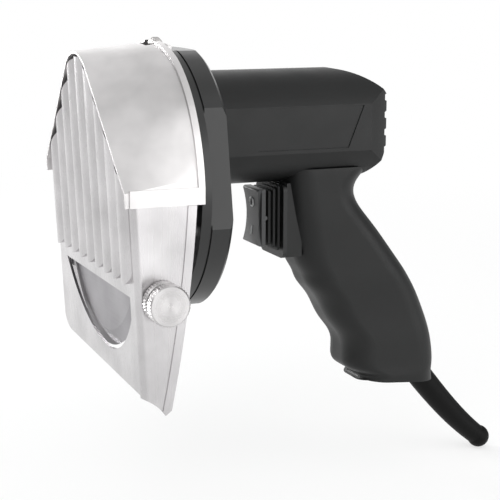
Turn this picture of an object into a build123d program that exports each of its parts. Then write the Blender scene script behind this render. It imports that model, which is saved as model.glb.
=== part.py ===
from build123d import *
import math
import os

# Electric kebab slicer: a pistol-grip motor drives a round blade inside a stainless head.
# Millimetres. X runs along the blade axis, with the ribbed front plate towards -X and the
# motor towards +X. +Y is the tool's right side, +Z is up.
# Heights are drawn from the gear case's axis, and save() moves each part so that the origin
# lies on the blade's axis, in the plane of the gear case's front rim.

# Driving sizes of the head
head_half_width = 62.3
front_x = -33.0
front_lean = -2.86
sheet = 1.3
slide_gap = 0.5
side_rear_top_x = -2.8
side_rear_mid_x = -6.6
side_rear_low_x = -15.4
side_mid_z = -42.0
side_top_z = 1.0
front_low_z = -87.5
front_low_right_z = -82.3
tail_tip_x = -18.0
tail_tip_z = -97.0
tail_mid_x = -27.6
tail_mid_z = -88.8
right_corner_r = 14.0
bend_r = 3.0
rear_strip = 4.0
rear_strip_rise = 0.6

# Gable outline of the front plate, under the hood
gable_apex_z = 57.6
gable_flank_y = 14.5
gable_flank_z = 52.2
gable_shoulder_z = 2.0

# Pressed ribs
rib_count_each_side = 4
rib_pitch = 13.0
rib_width = 11.6
rib_rise = 3.0
rib_low_z = -38.5
rib_edge = 0.6

# Window in the front plate
window_top_z = -44.5
window_far_y = 47.5
window_arc_y = 24.0
window_arc_z = -65.0
window_low_y = -16.0
window_low_z = -75.8
window_turn_y = -40.0
window_turn_z = -68.0
window_near_y = -53.0
window_near_z = -54.5

# Hood
hood_gap = 0.5
hood_wall = 1.2
hood_front_x = -36.0
hood_rear_x = 0.0
hood_lip_z = -3.5
hood_rear_radius = 61.5
hood_mid_radius = 62.4
hood_rim = 3.0
hood_rim_rise = 0.8
hood_band_top_z = 4.0
hood_band_rise = 0.7
hood_tab = 1.2
lug_low_z = 47.0
hood_notch_front = 2.8
hood_slot_front = 7.5

# Blade and spindle
blade_radius = 59.3
blade_thick = 1.6
blade_front_x = -27.0
blade_bevel = 7.0
blade_rim_share = 0.85
spindle_z = -18.0
spindle_radius = 6.0
seat_radius = 16.0
seat_thick = 4.0
seat_hub_radius = 9.0
blade_hole_gap = 0.05
drive_pin_radius = 2.0
drive_pin_circle = 11.0
blade_screw_head_radius = 8.0
blade_screw_head = 2.8
blade_screw_flare_share = 1.3
screw_slot_share = 0.6
blade_screw_radius = 2.5
blade_screw_depth = 12.0
screw_cross = 1.4

# Gears
gear_module = 1.5
wheel_teeth = 41
pinion_teeth = 12
pressure_deg = 25.0
tooth_backlash = 0.34
root_gap_share = 0.30
gear_face = 7.0
pinion_face = 8.0
gear_room = 1.0
wheel_x = 4.0
wheel_web = 3.0
wheel_rim = 4.5
wheel_hub_radius = 12.0
wheel_hole_radius = 4.2
wheel_hole_count = 6

# Gear case
case_radius = 61.3
case_wall = 5.0
case_depth = 15.5
case_top_z = 59.2
case_low_z = -58.2
facet_distance = 55.2
facet_angle = 10.6
case_back = 3.0
case_groove_x = 4.5
case_groove = 0.9
case_edge = 1.6
cover_thick = 3.0
cover_recess_gap = 0.15
nose_radius = 19.0
nose_tip_radius = 15.5
nose_tip_x = -20.5
bearing_width = 5.0
bearing_radius = 11.0
bearing_gap = 0.02
running_gap = 0.05
cover_screw_count = 5
cover_screw_circle = 54.2
cover_screw_radius = 1.75
cover_screw_head_radius = 3.2
cover_screw_head = 2.0
cover_screw_length = 9.0

# Motor housing
barrel_radius = 27.0
barrel_flat_half = 24.6
barrel_end_half = 21.0
shell_wall = 2.4
barrel_bore_radius = 22.2
barrel_front_x = case_depth
rear_x = 110.8
taper_x = 82.0
taper_mid_x = 100.0
taper_mid_drop = 3.9
rear_top_z = 36.5
rear_low_z = 5.0
bore_step_x = 95.0
bore_rear_radius = 17.5
bore_end_x = 104.5
panel_recess = 0.5
panel_front_low_x = 41.5
panel_front_top_x = 46.0
panel_rear_low_x = 88.0
panel_rear_top_x = 96.0
panel_low_dz = -9.4
panel_top_dz = 10.6
vent_count = 4
vent_pitch = 8.4
vent_height = 2.6
vent_slope = 0.5
vent_depth = 1.4
vent_low_z = 8.6

# Motor
stator_radius = 22.0
stator_bore = 14.0
stator_front_x = 34.0
stator_length = 40.0
rotor_gap = 0.6
rotor_slots = 12
slot_width = 1.8
slot_depth = 3.5
shaft_radius = 3.0
shaft_front_x = 3.6
shaft_rear_x = 103.5
shaft_gap = 1.0
commutator_radius = 8.0
commutator_x = 82.0
commutator_length = 12.0
fan_radius = 20.5
fan_x = 21.5
fan_plate = 1.6
fan_depth = 5.5
fan_blades = 9
fan_hub_radius = 6.5
front_bearing_radius = 8.0
rear_bearing_radius = 8.0
motor_bearing_width = 5.0
rear_bearing_x = 98.0
brush_width = 5.0
brush_height = 6.5
brush_length = 12.0
brush_gap = 0.1
coil_rise = 3.2
coil_length = 6.0

# Grip
grip_wall = 2.6
grip_corner = 13.0
grip_low_z = -112.0
heel_front_x = 94.0
heel_front_z = -109.4
heel_arch_x = 106.0
heel_arch_z = -107.2
heel_rear_x = 145.0
heel_rear_z = -110.5
line_groove = 0.6
line_top_x = 68.0
line_top_z = -6.0
line_low_x = 76.8
line_low_z = -46.0

# Switch
switch_half_y = 9.6
switch_front_x = 47.4
switch_rear_x = 51.6
switch_top_z = -8.0
switch_low_z = -35.5
switch_waist = 2.0
switch_dish = 1.4
switch_corner = 1.6
switch_pivot_x = 51.6
switch_pivot_radius = 1.0
pleat_count = 3
pleat_thick = 1.7
pleat_step = 2.0
pleat_grow = 1.1
boot_lip = 1.2
bezel_half_y = 14.0
bezel_front_x = 59.0
bezel_thick = 2.0
bezel_top_z = -5.6
bezel_low_z = -41.5
switch_mount_depth = 8.0
switch_body_half_y = 9.5
switch_body_rear_x = 82.0

# Knobs
knob_radius = 9.4
knob_disc = 5.2
knob_neck_radius = 7.2
knob_neck = 2.0
knob_flange = 4.0
top_knob_disc = 4.0
knob_teeth = 40
knob_tooth_depth = 0.45
knob_edge = 0.9
stud_radius = 2.5
stud_gap = 0.05
washer_thick = 0.8
washer_radius = 5.0
washer_bore_gap = 0.05
clamp_x = -19.5
clamp_z = -45.0
clamp_stud = 9.5
top_knob_z = 55.4
top_knob_front_x = -2.0
top_stud = 8.0
guide_travel_front = 3.0

# Brackets that carry the front plate
bracket_thick = 3.0
bracket_half_z = 7.0
bracket_root_y = 30.0
bracket_front_x = -24.5
bracket_arm_x = -9.5
bracket_boss_radius = 5.5
bracket_boss = 5.0
guide_pin_radius = 2.4
guide_pin_head_radius = 4.6
guide_pin_head = 1.2

# Cord sleeve
sleeve_root = (141.5, -110.0)
sleeve_knee = (155.7, -127.3)
sleeve_end = (179.2, -149.0)
sleeve_knee_r = 150.0
sleeve_root_radius = 6.5
sleeve_mid_radius = 6.1
sleeve_end_radius = 5.2
sleeve_bead_radius = 5.8
sleeve_bore_radius = 3.6
sleeve_flange_radius = 8.6
sleeve_flange = 2.5
sleeve_inside = 9.0
sleeve_fit = 0.1
clamp_bar_gap = 1.5
clamp_bar_width = 7.0
clamp_bar_reach = 23.4
clamp_bar_thick = 3.0
clamp_ledge = 2.5

# Fasteners of the housing
shell_screw_radius = 1.6
shell_screw_head_radius = 3.1
shell_screw_head = 2.2
boss_radius = 4.2
boss_gap = 0.1

over = 2.0

# Sizes that follow from the others
motor_z = spindle_z + gear_module * (wheel_teeth + pinion_teeth) / 2
inner_half = head_half_width - sheet
sheet_back_x = front_x + sheet
seat_x = blade_front_x + blade_thick
top_seat_x = top_knob_front_x + top_knob_disc + washer_thick
screw_end_y = barrel_flat_half - 3 * shell_wall
shell_screw_places = [
    (86.0, -6.5),
    (118.0, -58.0),
    (108.0, -96.0),
]


def yz_plane(x, y=0.0, z=0.0):
    """A sketch plane square to X, whose own X is +Y and own Y is +Z."""
    return Plane(origin=(x, y, z), x_dir=(0, 1, 0), z_dir=(1, 0, 0))


def xz_plane(y):
    """A sketch plane square to Y, whose own X is +X and own Y is +Z; it extrudes to -Y."""
    return Plane(origin=(0, y, 0), x_dir=(1, 0, 0), z_dir=(0, -1, 0))


def rod_x(radius, x0, x1, y=0.0, z=0.0):
    return extrude(yz_plane(x0, y, z) * Circle(radius), x1 - x0)


def rod_y(radius, y0, y1, x, z):
    """A round bar along Y from y0 up to y1."""
    return extrude(Plane(origin=(x, y1, z), x_dir=(1, 0, 0), z_dir=(0, -1, 0)) * Circle(radius), y1 - y0)


def block(x0, x1, y0, y1, z0, z1):
    size = (x1 - x0, y1 - y0, z1 - z0)
    return Pos((x0 + x1) / 2, (y0 + y1) / 2, (z0 + z1) / 2) * Box(*size)


def prism_x(points, x0, x1):
    return extrude(yz_plane(x0) * make_face(Polyline(*points, close=True)), x1 - x0)


def prism_y(points, y0, y1):
    """The outline in X and Z, from y0 up to y1."""
    return extrude(xz_plane(y1) * make_face(Polyline(*points, close=True)), y1 - y0)


def cone_x(r0, r1, x0, x1, y=0.0, z=0.0):
    a, b = yz_plane(x0, y, z), yz_plane(x1, y, z)
    return loft([a * Circle(r0), b * Circle(r1)])


def save(name, shape):
    """Moves a part from the case's axis to the blade's axis and writes it."""
    shift = Pos(0, 0, -spindle_z)
    if isinstance(shape, (list, ShapeList)):
        shape = Compound(children=[shift * piece for piece in shape])
    else:
        shape = shift * shape
    export_step(shape, os.path.join("parts", name + ".step"))
    print(name, "solids", len(shape.solids()), "volume", round(shape.volume))


# Head


def gable_edges(half, apex_z, flank_y, flank_z, shoulder_z, low_z):
    """A closed outline in Y and Z: straight sides, two flanks of two runs and a round apex."""
    mid_y, mid_z = (half + flank_y) / 2, (shoulder_z + flank_z) / 2
    return [
        Line((half, low_z), (half, shoulder_z)),
        Line((half, shoulder_z), (mid_y, mid_z)),
        Line((mid_y, mid_z), (flank_y, flank_z)),
        ThreePointArc((flank_y, flank_z), (0, apex_z), (-flank_y, flank_z)),
        Line((-flank_y, flank_z), (-mid_y, mid_z)),
        Line((-mid_y, mid_z), (-half, shoulder_z)),
        Line((-half, shoulder_z), (-half, low_z)),
        Line((-half, low_z), (half, low_z)),
    ]


def lean(shape):
    """Tips the front of the head forward about a line through the front plate."""
    return Pos(front_x, 0, 0) * Rot(0, front_lean, 0) * Pos(-front_x, 0, 0) * shape


def gable_face(x, grow, low_z, leaning=False):
    """The front plate's gable, grown outwards by the given amount, on the plane at x."""
    edges = gable_edges(
        head_half_width + grow,
        gable_apex_z + grow,
        gable_flank_y + grow / 2,
        gable_flank_z + grow,
        gable_shoulder_z + grow / 2,
        low_z,
    )
    plane = yz_plane(x)
    if leaning:
        plane = plane.rotated((0, front_lean, 0))
    return plane * make_face(Curve() + edges)


def rear_face(x, grow, low_z):
    """The hood's rear section: straight sides and a round top about the gear case's axis."""
    half = head_half_width + hood_gap + grow
    top_r, side_r = hood_rear_radius + grow, hood_mid_radius + grow
    shoulder = gable_shoulder_z + grow / 2

    def on(radius, degrees):
        return radius * math.cos(math.radians(degrees)), radius * math.sin(math.radians(degrees))

    low_mid, join, high_mid, corner = on(side_r, 18), on(side_r, 36), on(side_r, 48), on(side_r, 62)
    right = [
        Line((half, low_z), (half, shoulder)),
        ThreePointArc((half, shoulder), low_mid, join),
        ThreePointArc(join, high_mid, corner),
    ]
    left = [
        ThreePointArc((-corner[0], corner[1]), (-high_mid[0], high_mid[1]), (-join[0], join[1])),
        ThreePointArc((-join[0], join[1]), (-low_mid[0], low_mid[1]), (-half, shoulder)),
        Line((-half, shoulder), (-half, low_z)),
    ]
    top = ThreePointArc(corner, (0, top_r), (-corner[0], corner[1]))
    edges = right + [top] + left + [Line((-half, low_z), (half, low_z))]
    return yz_plane(x) * make_face(Curve() + edges)


def rib_slab(y, top_z, width, x0, x1):
    """A slab with half-round ends, as seen from the front, that a rib is cut from."""
    r = width / 2
    low, high = rib_low_z, top_z
    edges = [
        Line((y - r, low + r), (y - r, high - r)),
        ThreePointArc((y - r, high - r), (y, high), (y + r, high - r)),
        Line((y + r, high - r), (y + r, low + r)),
        ThreePointArc((y + r, low + r), (y, low), (y - r, low + r)),
    ]
    return extrude(yz_plane(x0) * make_face(Curve() + edges), x1 - x0)


def rib_round(y, width, rise, base_x, top_z):
    """A tall round bar whose crown stands out of the sheet by the rise over the rib's width."""
    radius = (width * width / 4 + rise * rise) / (2 * rise)
    centre_x = base_x - rise + radius
    plane = Plane(origin=(centre_x, y, rib_low_z - over), z_dir=(0, 0, 1))
    return extrude(plane * Circle(radius), top_z - rib_low_z + 2 * over)


def window_face(x):
    edges = [
        Line((window_near_y, window_top_z), (window_far_y, window_top_z)),
        ThreePointArc(
            (window_far_y, window_top_z), (window_arc_y, window_arc_z), (window_low_y, window_low_z)
        ),
        ThreePointArc(
            (window_low_y, window_low_z), (window_turn_y, window_turn_z), (window_near_y, window_near_z)
        ),
        Line((window_near_y, window_near_z), (window_near_y, window_top_z)),
    ]
    return yz_plane(x) * make_face(Curve() + edges)


def rear_edge(shift):
    """The curved rear edge of a side wall, moved along X by the shift."""
    return ThreePointArc(
        (side_rear_low_x + shift, tail_tip_z + over),
        (side_rear_mid_x + shift, side_mid_z),
        (side_rear_top_x + shift, side_top_z),
    )


def side_outline(side):
    """What the walls keep of the bent sheet, seen from the side. The left wall has a tail."""
    edge = rear_edge(0)
    low, high = edge @ 0, edge @ 1
    ahead = front_x * 2
    top = gable_apex_z + over * 4
    step_x = front_x + sheet * 2
    tail = [Line((low.X, low.Y), (tail_tip_x, tail_tip_z))]
    if side < 0:
        tail += [
            ThreePointArc(
                (tail_tip_x, tail_tip_z), (tail_mid_x, tail_mid_z), (front_x + bend_r / 2, front_low_z)
            ),
            Line((front_x + bend_r / 2, front_low_z), (ahead, front_low_z)),
        ]
    else:
        tail = [Line((low.X, low.Y), (ahead, low.Y))]
    edges = [
        edge,
        Line((high.X, high.Y), (step_x, high.Y)),
        Line((step_x, high.Y), (step_x, top)),
        Line((step_x, top), (ahead, top)),
        Line((ahead, top), tail[-1] @ 1),
    ]
    y0, y1 = (-head_half_width * 2, 0) if side < 0 else (0, head_half_width * 2)
    return extrude(xz_plane(y1) * make_face(Curve() + edges + tail), y1 - y0)


def rear_strip_solid(side):
    """The joggled strip along the rear edge of a side wall."""
    y_out = side * (head_half_width + rear_strip_rise)
    y_in = side * (head_half_width - sheet + rear_strip_rise)
    y0, y1 = min(y_out, y_in), max(y_out, y_in)
    a, b = rear_edge(0), rear_edge(-rear_strip)
    edges = [a, Line(a @ 1, b @ 1), b, Line(b @ 0, a @ 0)]
    strip = extrude(xz_plane(y1) * make_face(Curve() + edges), y1 - y0)
    high = hood_lip_z - slide_gap
    low = tail_tip_z if side < 0 else front_low_right_z + right_corner_r
    return strip & block(front_x, over, y0 - over, y1 + over, low, high)


def bent_sheet():
    """The sheet folded to a U in plan, as tall as the head."""
    half = head_half_width
    outer = [(0, -half), (front_x, -half), (front_x, half), (0, half)]
    inner = [(0, half - sheet), (sheet_back_x, half - sheet), (sheet_back_x, sheet - half), (0, sheet - half)]
    base = Plane(origin=(0, 0, tail_tip_z - over))
    shape = extrude(base * make_face(Polyline(*outer, *inner, close=True)), gable_apex_z - tail_tip_z + 4 * over)
    outside = [e for e in shape.edges().filter_by(Axis.Z) if e.center().X < front_x + sheet / 2]
    shape = fillet(outside, bend_r)
    inside = [
        e for e in shape.edges().filter_by(Axis.Z)
        if abs(e.center().X - sheet_back_x) < sheet / 4 and abs(e.center().Y) > half - 2 * sheet
    ]
    return fillet(inside, bend_r - sheet)


def front_outline():
    """What the front plate keeps of the bent sheet, seen from the front."""
    plate = extrude(gable_face(front_x * 2, 0, front_low_z), -front_x * 3)
    half = head_half_width
    wedge = [
        (half + over, front_low_right_z), (half, front_low_right_z), (-half, front_low_z),
        (-half, front_low_z - over), (half + over, front_low_z - over),
    ]
    plate -= prism_x(wedge, front_x * 2 - over, -front_x * 2)
    corner = [
        e for e in plate.edges().filter_by(Axis.X)
        if e.center().Y > 0 and e.center().Z < front_low_right_z + over
    ]
    plate = fillet(corner, right_corner_r)
    tail = block(
        front_x * 2, -front_x, -half - over, bend_r - half, tail_tip_z - over, front_low_z + sheet
    )
    return plate + tail


def rib(y):
    """One pressed rib, which ends along the gable: a solid bar and the hollow behind it."""
    top = gable_apex_z + rib_width
    ahead, behind = front_x - rib_rise - over, sheet_back_x + over
    outer = rib_slab(y, top, rib_width, ahead, front_x + sheet / 2)
    outer &= rib_round(y, rib_width, rib_rise, front_x, top)
    outer &= extrude(gable_face(ahead, -rib_edge, rib_low_z - over), behind - ahead)
    inner = rib_slab(y, top, rib_width - 2 * sheet, ahead, behind)
    inner &= rib_round(y, rib_width, rib_rise, sheet_back_x, top)
    inner &= extrude(gable_face(ahead, -rib_edge - 2 * sheet, rib_low_z + sheet), behind - ahead)
    return outer, inner


def rib_places():
    """The middle of each rib, from the left side to the right."""
    return [k * rib_pitch for k in range(-rib_count_each_side, rib_count_each_side + 1)]


def guide_slots():
    """The slots in the side walls that the clamp stud and the guide pin stand in."""
    slots = []
    for side, pin_r in ((-1, stud_radius), (1, guide_pin_radius)):
        radius = pin_r + slide_gap
        x0, x1 = clamp_x, clamp_x + guide_travel_front
        y0 = side * head_half_width - 2 * over
        y1 = y0 + 4 * over
        slot = rod_y(radius, y0, y1, x0, clamp_z) + rod_y(radius, y0, y1, x1, clamp_z)
        slots.append(slot + block(x0, x1, y0, y1, clamp_z - radius, clamp_z + radius))
    return slots


def front_plate():
    """The stainless depth guide: ribbed front plate, round window and two side walls."""
    plate = bent_sheet() & front_outline()
    ribs = [rib(y) for y in rib_places()]
    for outer, inner in ribs:
        plate += outer
    for outer, inner in ribs:
        plate -= inner
    plate -= extrude(window_face(front_x - over), sheet + 2 * over)
    plate = lean(plate)
    left = plate & side_outline(-1)
    right = plate & side_outline(1)
    guide = left + right
    for side in (-1, 1):
        guide += rear_strip_solid(side)
    for slot in guide_slots():
        guide -= slot
    return guide


def hood():
    """The stainless hood: a folded gable in front that runs out to a round rim behind."""
    low = hood_lip_z - over * 4
    half = head_half_width + hood_gap + hood_wall
    outer = loft(
        [gable_face(hood_front_x, hood_gap + hood_wall, low, True), rear_face(hood_rear_x, hood_wall, low)],
        ruled=True,
    )
    inner = loft(
        [gable_face(hood_front_x, hood_gap, low, True), rear_face(hood_rear_x, 0, low)],
        ruled=True,
    )
    cover = outer - inner
    for side in (-1, 1):
        y0, y1 = sorted((side * (half + hood_band_rise), side * (half - hood_wall / 2)))
        cover += block(hood_front_x + over, hood_rear_x - over, y0, y1, hood_lip_z, hood_band_top_z)
    rim_out = extrude(rear_face(hood_rear_x - hood_rim, hood_wall + hood_rim_rise, low), hood_rim)
    rim_in = extrude(rear_face(hood_rear_x - hood_rim - over, hood_wall / 4, low), hood_rim + 2 * over)
    cover += rim_out - rim_in
    cover &= block(hood_front_x * 2, over, -half * 2, half * 2, hood_lip_z, half * 2)
    pocket_r = knob_radius + slide_gap
    cover -= rod_x(pocket_r, hood_rear_x - hood_slot_front, hood_rear_x + over, 0, top_knob_z)
    return (cover + lug()).cut(lug_hole())


def lug():
    """The cranked lug behind the top knob, joined to the hood by two cheeks."""
    x0 = hood_rear_x - hood_notch_front
    x1 = top_seat_x + hood_tab
    half = knob_radius + slide_gap + hood_tab
    top = hood_rear_radius + hood_wall / 2
    channel = block(x0, x1, -half, half, lug_low_z, top)
    channel &= rod_x(hood_rear_radius + hood_wall / 2, x0, x1)
    inside = half - hood_tab
    return channel - block(x0 - over, top_seat_x, -inside, inside, lug_low_z - over, top + over)


def lug_hole():
    return rod_x(stud_radius + slide_gap, hood_rear_x, case_depth, 0, top_knob_z)


# Knobs


def toothed_disc(radius, thick):
    """A disc with V-shaped knurling round it, chamfered at both rims, standing on XY."""
    points = []
    for k in range(knob_teeth):
        for part, r in ((0.0, radius), (0.5, radius - knob_tooth_depth)):
            a = 2 * math.pi * (k + part) / knob_teeth
            points.append((r * math.cos(a), r * math.sin(a)))
    disc = extrude(make_face(Polyline(*points, close=True)), thick)
    bound = Circle(radius - knob_edge)
    full = Circle(radius)
    shape = loft([bound, Pos(0, 0, knob_edge) * full])
    shape += extrude(Pos(0, 0, knob_edge) * full, thick - 2 * knob_edge)
    shape += loft([Pos(0, 0, thick - knob_edge) * full, Pos(0, 0, thick) * bound])
    return disc & shape


def side_knob():
    """A knurled thumb screw: stud below Z = 0, flange, neck and disc above it."""
    body = toothed_disc(knob_radius, knob_flange)
    body += extrude(Circle(knob_neck_radius), knob_flange + knob_neck)
    body += Pos(0, 0, knob_flange + knob_neck) * toothed_disc(knob_radius, knob_disc)
    length = clamp_stud + washer_thick
    return body + Pos(0, 0, -length) * extrude(Circle(stud_radius), length + over)


def top_knob():
    """A thin knurled thumb screw, with its stud below Z = 0."""
    length = top_stud + washer_thick + hood_tab
    body = toothed_disc(knob_radius, top_knob_disc)
    return body + Pos(0, 0, -length) * extrude(Circle(stud_radius), length + over)


def washer():
    return extrude(Circle(washer_radius) - Circle(stud_radius + washer_bore_gap), washer_thick)


def clamp_place():
    """Where the side knob's washer lies: on the left wall, pointing out of it."""
    return Plane(origin=(clamp_x, -head_half_width, clamp_z), x_dir=(1, 0, 0), z_dir=(0, -1, 0))


def top_place():
    """Where the top knob's washer lies: on the front of the lug, pointing forward."""
    return Plane(origin=(top_seat_x, 0, top_knob_z), x_dir=(0, 1, 0), z_dir=(-1, 0, 0))


# Blade, spindle and gears


def involute_gear(teeth, face, x0, z0, turn):
    """A spur gear whose flanks are involutes, drawn with three points a flank."""
    pitch_r = gear_module * teeth / 2
    base_r = pitch_r * math.cos(math.radians(pressure_deg))
    tip_r = pitch_r + gear_module
    root_r = pitch_r - gear_module * (1 + root_gap_share)
    start_r = max(base_r, root_r)

    def inv(r):
        a = math.acos(min(1.0, base_r / r))
        return math.tan(a) - a

    half = math.pi / (2 * teeth) - tooth_backlash / (4 * pitch_r) + inv(pitch_r)
    radii = [start_r + (tip_r - start_r) * s for s in (0.0, 0.3, 0.65, 1.0)]
    points = []
    for k in range(teeth):
        a0 = turn + 2 * math.pi * k / teeth
        rising = [(r, a0 - half + inv(r)) for r in radii]
        falling = [(r, a0 + half - inv(r)) for r in reversed(radii)]
        flank = rising + falling
        if start_r > root_r:
            flank = [(root_r, rising[0][1])] + flank + [(root_r, falling[-1][1])]
        points += [(r * math.sin(a), r * math.cos(a)) for r, a in flank]
    return extrude(yz_plane(x0, 0, z0) * make_face(Polyline(*points, close=True)), face)


def drive_wheel():
    wheel = involute_gear(wheel_teeth, gear_face, wheel_x, spindle_z, 0.0)
    pitch_r = gear_module * wheel_teeth / 2
    rim_r = pitch_r - gear_module - wheel_rim
    recess = (gear_face - wheel_web) / 2
    for x0, x1 in ((wheel_x - over, wheel_x + recess), (wheel_x + gear_face - recess, wheel_x + gear_face + over)):
        ring = rod_x(rim_r, x0, x1, 0, spindle_z) - rod_x(wheel_hub_radius, x0, x1, 0, spindle_z)
        wheel -= ring
    mid_r = (rim_r + wheel_hub_radius) / 2
    for k in range(wheel_hole_count):
        a = 2 * math.pi * k / wheel_hole_count
        y, z = mid_r * math.sin(a), spindle_z + mid_r * math.cos(a)
        wheel -= rod_x(wheel_hole_radius, wheel_x - over, wheel_x + gear_face + over, y, z)
    return wheel - rod_x(spindle_radius, wheel_x - over, wheel_x + gear_face + over, 0, spindle_z)


def spindle():
    rear = case_depth - case_back - slide_gap
    bar = rod_x(spindle_radius, seat_x, rear, 0, spindle_z)
    bar += rod_x(seat_radius, seat_x, seat_x + seat_thick, 0, spindle_z)
    bar += rod_x(seat_hub_radius, seat_x - blade_thick, seat_x + over, 0, spindle_z)
    for side in (-1, 1):
        y = side * (drive_pin_circle + seat_radius) / 2
        bar += rod_x(drive_pin_radius, seat_x - blade_thick, seat_x + over, y, spindle_z)
    hole_end = seat_x - blade_thick + blade_screw_depth
    return bar - rod_x(blade_screw_radius, seat_x - blade_thick - over, hole_end, 0, spindle_z)


def blade():
    rim_x = blade_front_x + blade_rim_share * blade_thick
    disc = cone_x(blade_radius - blade_bevel, blade_radius, blade_front_x, rim_x, 0, spindle_z)
    disc += rod_x(blade_radius, rim_x, seat_x, 0, spindle_z)
    disc -= rod_x(seat_hub_radius + blade_hole_gap, blade_front_x - over, seat_x + over, 0, spindle_z)
    for side in (-1, 1):
        y = side * (drive_pin_circle + seat_radius) / 2
        disc -= rod_x(drive_pin_radius + blade_hole_gap, blade_front_x - over, seat_x + over, y, spindle_z)
    return disc


def blade_screw():
    x = blade_front_x
    wide = blade_screw_head_radius * blade_screw_flare_share
    head = cone_x(blade_screw_head_radius, wide, x - blade_screw_head, x, 0, spindle_z)
    head += rod_x(blade_screw_radius, x - over, x + blade_screw_depth - over, 0, spindle_z)
    reach = blade_screw_head_radius * screw_slot_share
    depth = x - blade_screw_head + screw_cross
    for y, z in ((reach, screw_cross / 2), (screw_cross / 2, reach)):
        head -= block(x - blade_screw_head - over, depth, -y, y, spindle_z - z, spindle_z + z)
    return head


def bearing(x0, width, outer, inner, z):
    """A sealed ball bearing, with a shallow groove between its rings."""
    ring = rod_x(outer - bearing_gap, x0, x0 + width, 0, z)
    ring -= rod_x(inner + running_gap, x0 - over, x0 + width + over, 0, z)
    middle = (outer + inner) / 2
    groove = rod_x(middle + width / 8, x0 - over, x0 + width / 8, 0, z)
    groove -= rod_x(middle - width / 8, x0 - over, x0 + width / 8, 0, z)
    return ring - groove


def facets():
    """The room outside the two flat facets on the case's sides."""
    cuts = []
    width = case_radius
    for side in (-1, 1):
        cut = block(case_groove_x, case_depth + over, facet_distance, facet_distance + width, -width, width)
        cut = Rot(facet_angle, 0, 0) * cut
        cuts.append(cut if side > 0 else cut.mirror(Plane.XZ))
    return cuts


def knob_pocket():
    """The room for the hood's lug in the front of the gear case and its cover."""
    half = knob_radius + 2 * slide_gap + hood_tab
    low = min(lug_low_z, top_knob_z - knob_radius) - slide_gap
    return block(-over, top_seat_x + hood_tab + running_gap, -half, half, low, case_radius + over)


def gear_case():
    """The black round case: a rim with a groove, two facets, and the room for the gears."""
    case = rod_x(case_radius, 0, case_depth)
    case = chamfer(case.edges().filter_by(GeomType.CIRCLE).sort_by(Axis.X)[-1], case_edge)
    groove = rod_x(case_radius + over, case_groove_x, case_groove_x + case_groove)
    groove -= rod_x(case_radius - case_groove, case_groove_x, case_groove_x + case_groove)
    case -= groove
    case &= block(-over, case_depth + over, -case_radius, case_radius, case_low_z, case_top_z)
    for cut in facets():
        case -= cut
    back_x = case_depth - case_back
    wheel_r = gear_module * (wheel_teeth / 2 + 1) + gear_room
    pinion_r = gear_module * (pinion_teeth / 2 + 1) + gear_room
    case -= rod_x(wheel_r, 0, back_x, 0, spindle_z)
    case -= rod_x(pinion_r, 0, back_x, 0, motor_z)
    case -= rod_x(case_radius - case_wall, -over, cover_thick)
    seat_r = front_bearing_radius
    case += rod_x(seat_r + case_back, back_x, case_depth + case_back, 0, motor_z)
    case -= rod_x(seat_r, case_depth + case_back - motor_bearing_width, case_depth + case_back + over, 0, motor_z)
    case -= rod_x(shaft_radius + shaft_gap, back_x - over, case_depth + over, 0, motor_z)
    case -= knob_pocket()
    case -= rod_x(stud_radius + stud_gap, 0, top_seat_x + hood_tab + top_stud + slide_gap, 0, top_knob_z)
    for y, z in cover_screw_points():
        case -= rod_x(cover_screw_radius, 0, cover_screw_length + slide_gap, y, z)
    return case


def cover_screw_points():
    ring = cover_screw_circle
    out = []
    for k in range(cover_screw_count):
        a = math.radians(36) + 2 * math.pi * k / cover_screw_count
        out.append((ring * math.sin(a), ring * math.cos(a)))
    return out


def gear_cover():
    """The front cover of the gear case, with the long nose that carries the spindle."""
    rim = case_radius - case_wall - cover_recess_gap
    cover = rod_x(rim, 0, cover_thick)
    nose = cone_x(nose_tip_radius, nose_radius, nose_tip_x, 0, 0, spindle_z)
    cover += nose
    cover -= rod_x(spindle_radius + slide_gap, nose_tip_x - over, cover_thick + over, 0, spindle_z)
    cover -= rod_x(bearing_radius, nose_tip_x - over, nose_tip_x + bearing_width, 0, spindle_z)
    cover -= rod_x(bearing_radius, cover_thick - bearing_width, cover_thick + over, 0, spindle_z)
    for y, z in cover_screw_points():
        cover -= rod_x(cover_screw_radius + stud_gap, -over, cover_thick + over, y, z)
    return cover - knob_pocket()


def cover_screws():
    screws = []
    for y, z in cover_screw_points():
        screw = rod_x(cover_screw_radius - bearing_gap, 0, cover_screw_length, y, z)
        head = rod_x(cover_screw_head_radius, -cover_screw_head, 0, y, z)
        slot = block(
            -cover_screw_head - over, -cover_screw_head / 2, y - cover_screw_head_radius,
            y + cover_screw_head_radius, z - screw_cross / 3, z + screw_cross / 3,
        )
        screws.append(screw + head - slot)
    return screws


def bracket(side):
    """A cranked bracket from the gear cover out to a side wall of the front plate."""
    outer_y = side * (inner_half - slide_gap)
    inner_y = outer_y - side * bracket_thick
    z0, z1 = clamp_z - bracket_half_z, clamp_z + bracket_half_z
    root_y = side * bracket_root_y
    foot_y = root_y + side * bracket_thick
    x1 = bracket_arm_x
    shape = block(x1 - bracket_thick, x1, min(root_y, outer_y), max(root_y, outer_y), z0, z1)
    shape += block(x1 - bracket_thick, 0, min(root_y, foot_y), max(root_y, foot_y), z0, z1)
    shape += block(bracket_front_x, x1, min(inner_y, outer_y), max(inner_y, outer_y), z0, z1)
    boss_y = inner_y - side * (bracket_boss - bracket_thick)
    shape += rod_y(bracket_boss_radius, min(boss_y, outer_y), max(boss_y, outer_y), clamp_x, clamp_z)
    bore = stud_radius + stud_gap if side < 0 else guide_pin_radius
    y0, y1 = sorted((0.0, side * head_half_width * 2))
    return shape - rod_y(bore, y0, y1, clamp_x, clamp_z)


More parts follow.
